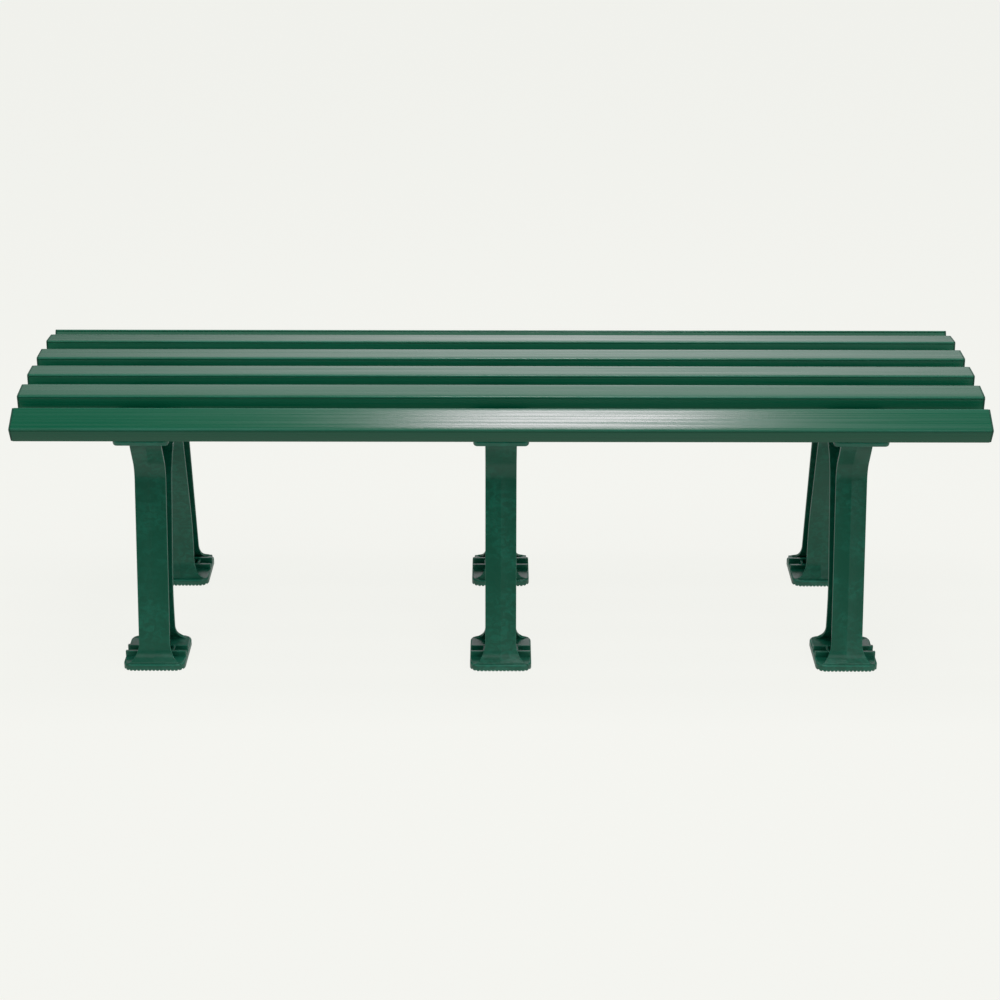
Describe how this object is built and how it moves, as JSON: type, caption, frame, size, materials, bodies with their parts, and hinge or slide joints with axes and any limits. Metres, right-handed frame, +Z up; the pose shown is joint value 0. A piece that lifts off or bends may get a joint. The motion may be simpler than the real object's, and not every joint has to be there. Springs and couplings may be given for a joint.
{
  "type": "backless bench",
  "caption": "Backless outdoor bench: hollow plastic slats, the outer ones sloping down, screwed to moulded arched leg frames with serrated feet.",
  "frame": {"origin": "middle of the bench on the floor, under the centre of the seat", "axes": "+X along the slats, +Y across the seat towards the back edge, +Z up"},
  "size_m": [1.5, 0.4578, 0.446],
  "materials": {
    "slat_plastic": "glossy dark green extruded plastic with fine lengthwise streaks",
    "frame_plastic": "satin dark green moulded plastic, faintly mottled",
    "cap_plastic": "satin dark green moulded plastic",
    "screw_steel": "bright zinc-plated steel"
  },
  "bodies": {
    "root": {"seat_slat_1": "slat_plastic", "seat_slat_2": "slat_plastic", "seat_slat_3": "slat_plastic", "seat_slat_4": "slat_plastic", "seat_slat_5": "slat_plastic", "seat_slat_6": "slat_plastic", "end_cap_1_left": "cap_plastic", "end_cap_1_right": "cap_plastic", "end_cap_2_left": "cap_plastic", "end_cap_2_right": "cap_plastic", "end_cap_3_left": "cap_plastic", "end_cap_3_right": "cap_plastic", "end_cap_4_left": "cap_plastic", "end_cap_4_right": "cap_plastic", "end_cap_5_left": "cap_plastic", "end_cap_5_right": "cap_plastic", "end_cap_6_left": "cap_plastic", "end_cap_6_right": "cap_plastic", "leg_frame_left": "frame_plastic", "leg_frame_middle": "frame_plastic", "leg_frame_right": "frame_plastic", "screw_left_slat_1_a": "screw_steel", "screw_left_slat_1_b": "screw_steel", "screw_left_slat_2_a": "screw_steel", "screw_left_slat_2_b": "screw_steel", "screw_left_slat_3_a": "screw_steel", "screw_left_slat_3_b": "screw_steel", "screw_left_slat_4_a": "screw_steel", "screw_left_slat_4_b": "screw_steel", "screw_left_slat_5_a": "screw_steel", "screw_left_slat_5_b": "screw_steel", "screw_left_slat_6_a": "screw_steel", "screw_left_slat_6_b": "screw_steel", "screw_middle_slat_1_a": "screw_steel", "screw_middle_slat_1_b": "screw_steel", "screw_middle_slat_2_a": "screw_steel", "screw_middle_slat_2_b": "screw_steel", "screw_middle_slat_3_a": "screw_steel", "screw_middle_slat_3_b": "screw_steel", "screw_middle_slat_4_a": "screw_steel", "screw_middle_slat_4_b": "screw_steel", "screw_middle_slat_5_a": "screw_steel", "screw_middle_slat_5_b": "screw_steel", "screw_middle_slat_6_a": "screw_steel", "screw_middle_slat_6_b": "screw_steel", "screw_right_slat_1_a": "screw_steel", "screw_right_slat_1_b": "screw_steel", "screw_right_slat_2_a": "screw_steel", "screw_right_slat_2_b": "screw_steel", "screw_right_slat_3_a": "screw_steel", "screw_right_slat_3_b": "screw_steel", "screw_right_slat_4_a": "screw_steel", "screw_right_slat_4_b": "screw_steel", "screw_right_slat_5_a": "screw_steel", "screw_right_slat_5_b": "screw_steel", "screw_right_slat_6_a": "screw_steel", "screw_right_slat_6_b": "screw_steel"}
  },
  "joints": []
}
